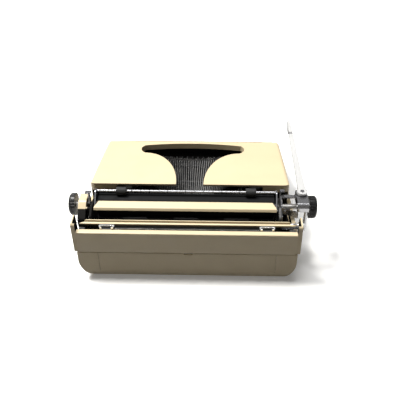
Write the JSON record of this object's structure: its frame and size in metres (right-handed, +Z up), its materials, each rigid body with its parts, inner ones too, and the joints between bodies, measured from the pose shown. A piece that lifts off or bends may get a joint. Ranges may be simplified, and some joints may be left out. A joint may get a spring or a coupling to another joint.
{
  "type": "typewriter",
  "caption": "Low portable manual typewriter with a hinged ribbon cover, a sliding carriage with platen and return lever, a keyboard, and a fan of typebars.",
  "frame": {"origin": "on the table, under the middle of the machine's overall box", "axes": "+Z up, -Y towards the typist (keyboard side), +X to the typist's right, along the platen"},
  "size_m": [0.3516, 0.344, 0.1315],
  "materials": {
    "cream_paint": "satin sprayed enamel, fine orange peel",
    "cream_plastic": "satin moulded ABS",
    "black_frame": "matte black enamel",
    "black_rubber": "ground rubber",
    "black_plastic": "ribbed, semi-gloss",
    "chrome": "polished",
    "steel": "zinc plated, brushed",
    "key_plastic": "double-shot caps",
    "ribbon_fabric": "inked nylon",
    "brass": "bare"
  },
  "bodies": {
    "body": {"base_shell": "cream_paint", "rear_panel": "cream_paint", "side_panel_left": "cream_paint", "side_panel_right": "cream_paint", "rear_deck_strip": "cream_paint", "rail_end_blocks": "black_frame", "margin_rail": "steel", "keyboard_surround": "cream_paint", "chassis_frame": "black_frame", "carriage_rails": "steel", "type_segment": "steel", "typebar_wire": "steel", "typebars": "steel", "type_rest": "black_rubber", "type_guide": "chrome", "spool_posts": "steel", "ribbon": "ribbon_fabric", "bell": "brass", "key_fulcrum_shaft": "steel", "rubber_feet": "black_rubber", "housing_screws": "steel"},
    "ribbon_cover": {"ribbon_cover": "cream_paint"},
    "ribbon_spool_left": {"ribbon_spool_left": "steel"},
    "ribbon_spool_right": {"ribbon_spool_right": "steel"},
    "ribbon_vibrator": {"ribbon_vibrator": "steel"},
    "escapement_wheel": {"escapement_wheel": "steel"},
    "mainspring_drum": {"mainspring_drum": "steel"},
    "margin_stop_left": {"margin_stop_left": "chrome"},
    "margin_stop_right": {"margin_stop_right": "chrome"},
    "keys_number_row": {"keys_number_row": "key_plastic"},
    "keys_upper_row": {"keys_upper_row": "key_plastic"},
    "keys_home_row": {"keys_home_row": "key_plastic"},
    "keys_bottom_row": {"keys_bottom_row": "key_plastic"},
    "key_g": {"key_g": "key_plastic"},
    "key_h": {"key_h": "key_plastic"},
    "typebar_g": {"typebar_g": "steel"},
    "typebar_h": {"typebar_h": "steel"},
    "space_bar": {"space_bar": "key_plastic"},
    "shift_keys": {"shift_keys": "key_plastic"},
    "backspace_key": {"backspace_key": "key_plastic"},
    "margin_release_key": {"margin_release_key": "key_plastic"},
    "color_selector": {"color_selector": "key_plastic"},
    "carriage": {"carriage_bed": "black_frame", "carriage_end_left": "steel", "carriage_end_right": "cream_paint", "paper_table": "cream_paint", "escapement_rack": "steel", "return_lever_bracket": "steel"},
    "platen": {"platen_roller": "black_rubber", "platen_shaft": "steel", "platen_knobs": "black_plastic", "ratchet_wheel": "steel"},
    "feed_roller_front": {"feed_roller_front": "black_rubber"},
    "feed_roller_rear": {"feed_roller_rear": "black_rubber"},
    "return_lever": {"return_lever": "chrome"},
    "line_space_selector": {"line_space_selector": "chrome"},
    "carriage_release": {"carriage_release": "chrome"},
    "paper_release_lever": {"paper_release_lever": "chrome"},
    "paper_bail": {"paper_bail": "chrome", "bail_rollers": "black_rubber"}
  },
  "joints": [
    {"name": "ribbon_cover_hinge", "type": "hinge", "parent": "body", "child": "ribbon_cover", "pos_m": [0.00575, -0.077, 0.0632], "axis": [1, 0, 0], "range_deg": [0, 62]},
    {"name": "ribbon_spool_left_spin", "type": "hinge", "parent": "body", "child": "ribbon_spool_left", "pos_m": [-0.09425, 0.02, 0.061], "axis": [0, 0, 1], "continuous": true},
    {"name": "ribbon_spool_right_spin", "type": "hinge", "parent": "body", "child": "ribbon_spool_right", "pos_m": [0.10575, 0.02, 0.061], "axis": [0, 0, 1], "continuous": true},
    {"name": "ribbon_vibrator_lift", "type": "slide", "parent": "body", "child": "ribbon_vibrator", "axis": [0, 0, 1], "range_m": [0, 0.007], "stiffness_N_per_m": 60, "springref_m": -0.004},
    {"name": "escapement_wheel_spin", "type": "hinge", "parent": "body", "child": "escapement_wheel", "pos_m": [0.00575, 0.143, 0.0503], "axis": [0, 1, 0], "continuous": true},
    {"name": "mainspring_drum_spin", "type": "hinge", "parent": "body", "child": "mainspring_drum", "pos_m": [0.09775, 0.118, 0.03], "axis": [0, 0, 1], "continuous": true},
    {"name": "margin_stop_left_slide", "type": "slide", "parent": "body", "child": "margin_stop_left", "axis": [1, 0, 0], "range_m": [0, 0.095]},
    {"name": "margin_stop_right_slide", "type": "slide", "parent": "body", "child": "margin_stop_right", "axis": [1, 0, 0], "range_m": [-0.095, 0]},
    {"name": "keys_number_row_press", "type": "hinge", "parent": "body", "child": "keys_number_row", "pos_m": [0.00575, 0.058, 0.014], "axis": [1, 0, 0], "range_deg": [0, 2.9], "stiffness_Nm_per_rad": 1.4, "springref_deg": -4},
    {"name": "keys_upper_row_press", "type": "hinge", "parent": "body", "child": "keys_upper_row", "pos_m": [0.00575, 0.058, 0.014], "axis": [1, 0, 0], "range_deg": [0, 2.9], "stiffness_Nm_per_rad": 1.4, "springref_deg": -4},
    {"name": "keys_home_row_press", "type": "hinge", "parent": "body", "child": "keys_home_row", "pos_m": [0.00575, 0.058, 0.014], "axis": [1, 0, 0], "range_deg": [0, 2.9], "stiffness_Nm_per_rad": 1.4, "springref_deg": -4},
    {"name": "keys_bottom_row_press", "type": "hinge", "parent": "body", "child": "keys_bottom_row", "pos_m": [0.00575, 0.058, 0.014], "axis": [1, 0, 0], "range_deg": [0, 2.9], "stiffness_Nm_per_rad": 1.4, "springref_deg": -4},
    {"name": "key_g_press", "type": "hinge", "parent": "body", "child": "key_g", "pos_m": [0.00575, 0.058, 0.014], "axis": [1, 0, 0], "range_deg": [0, 2.9], "stiffness_Nm_per_rad": 1.4, "springref_deg": -4},
    {"name": "key_h_press", "type": "hinge", "parent": "body", "child": "key_h", "pos_m": [0.00575, 0.058, 0.014], "axis": [-1, 0, 0], "range_deg": [-2.9, 0], "stiffness_Nm_per_rad": 1.4, "springref_deg": 4},
    {"name": "space_bar_press", "type": "hinge", "parent": "body", "child": "space_bar", "pos_m": [0.00575, 0.058, 0.014], "axis": [1, 0, 0], "range_deg": [0, 2.9], "stiffness_Nm_per_rad": 1.4, "springref_deg": -4},
    {"name": "shift_keys_press", "type": "hinge", "parent": "body", "child": "shift_keys", "pos_m": [0.00575, 0.058, 0.014], "axis": [1, 0, 0], "range_deg": [0, 2.9], "stiffness_Nm_per_rad": 1.4, "springref_deg": -4},
    {"name": "backspace_press", "type": "hinge", "parent": "body", "child": "backspace_key", "pos_m": [0.00575, 0.058, 0.014], "axis": [1, 0, 0], "range_deg": [0, 2.9], "stiffness_Nm_per_rad": 1.4, "springref_deg": -4},
    {"name": "margin_release_press", "type": "hinge", "parent": "body", "child": "margin_release_key", "pos_m": [0.00575, 0.058, 0.014], "axis": [1, 0, 0], "range_deg": [0, 2.9], "stiffness_Nm_per_rad": 1.4, "springref_deg": -4},
    {"name": "typebar_g_strike", "type": "hinge", "parent": "body", "child": "typebar_g", "pos_m": [0.00575, 0.02312, 0.0311], "axis": [-1, 0, 0], "range_deg": [0, 121.7]},
    {"name": "typebar_h_strike", "type": "hinge", "parent": "body", "child": "typebar_h", "pos_m": [0.00278, 0.02315, 0.03114], "axis": [0.9993, -0.023, -0.0287], "range_deg": [-121.7, 0]},
    {"name": "carriage_travel", "type": "slide", "parent": "body", "child": "carriage", "axis": [1, 0, 0], "range_m": [-0.1185, 0.1115]},
    {"name": "platen_turn", "type": "hinge", "parent": "carriage", "child": "platen", "pos_m": [0.00575, 0.105, 0.082], "axis": [1, 0, 0], "continuous": true},
    {"name": "feed_roller_front_spin", "type": "hinge", "parent": "carriage", "child": "feed_roller_front", "pos_m": [0.00575, 0.08953, 0.06902], "axis": [1, 0, 0], "continuous": true},
    {"name": "feed_roller_rear_spin", "type": "hinge", "parent": "carriage", "child": "feed_roller_rear", "pos_m": [0.00575, 0.12047, 0.06902], "axis": [1, 0, 0], "continuous": true},
    {"name": "return_lever_swing", "type": "hinge", "parent": "carriage", "child": "return_lever", "pos_m": [-0.15225, 0.112, 0.1126], "axis": [0, 0, 1], "range_deg": [0, 28], "stiffness_Nm_per_rad": 0.2, "springref_deg": -15},
    {"name": "line_space_select", "type": "hinge", "parent": "carriage", "child": "line_space_selector", "pos_m": [-0.12505, 0.0902, 0.0775], "axis": [1, 0, 0], "range_deg": [0, 24]},
    {"name": "carriage_release_press", "type": "hinge", "parent": "carriage", "child": "carriage_release", "pos_m": [0.00575, 0.134, 0.072], "axis": [1, 0, 0], "range_deg": [0, 10], "stiffness_Nm_per_rad": 0.4, "springref_deg": -10},
    {"name": "paper_release_pull", "type": "hinge", "parent": "carriage", "child": "paper_release_lever", "pos_m": [0.13825, 0.114, 0.0915], "axis": [1, 0, 0], "range_deg": [0, 22]},
    {"name": "paper_bail_lift", "type": "hinge", "parent": "carriage", "child": "paper_bail", "pos_m": [0.00575, 0.121, 0.086], "axis": [-1, 0, 0], "range_deg": [0, 38]},
    {"name": "color_select", "type": "hinge", "parent": "body", "child": "color_selector", "pos_m": [0.12525, -0.1085, 0.034], "axis": [1, 0, 0], "range_deg": [-8, 8]}
  ],
  "couplings": [
    {"joint": "escapement_wheel_spin", "follows": "carriage_travel", "rad_per_m": 83.333},
    {"joint": "mainspring_drum_spin", "follows": "carriage_travel", "rad_per_m": 50},
    {"joint": "feed_roller_front_spin", "follows": "platen_turn", "ratio": -4.7143},
    {"joint": "feed_roller_rear_spin", "follows": "platen_turn", "ratio": -4.7143},
    {"joint": "typebar_g_strike", "follows": "key_g_press", "ratio": 41.965},
    {"joint": "typebar_h_strike", "follows": "key_h_press", "ratio": 41.965},
    {"joint": "ribbon_spool_right_spin", "follows": "ribbon_spool_left_spin", "ratio": 1}
  ]
}
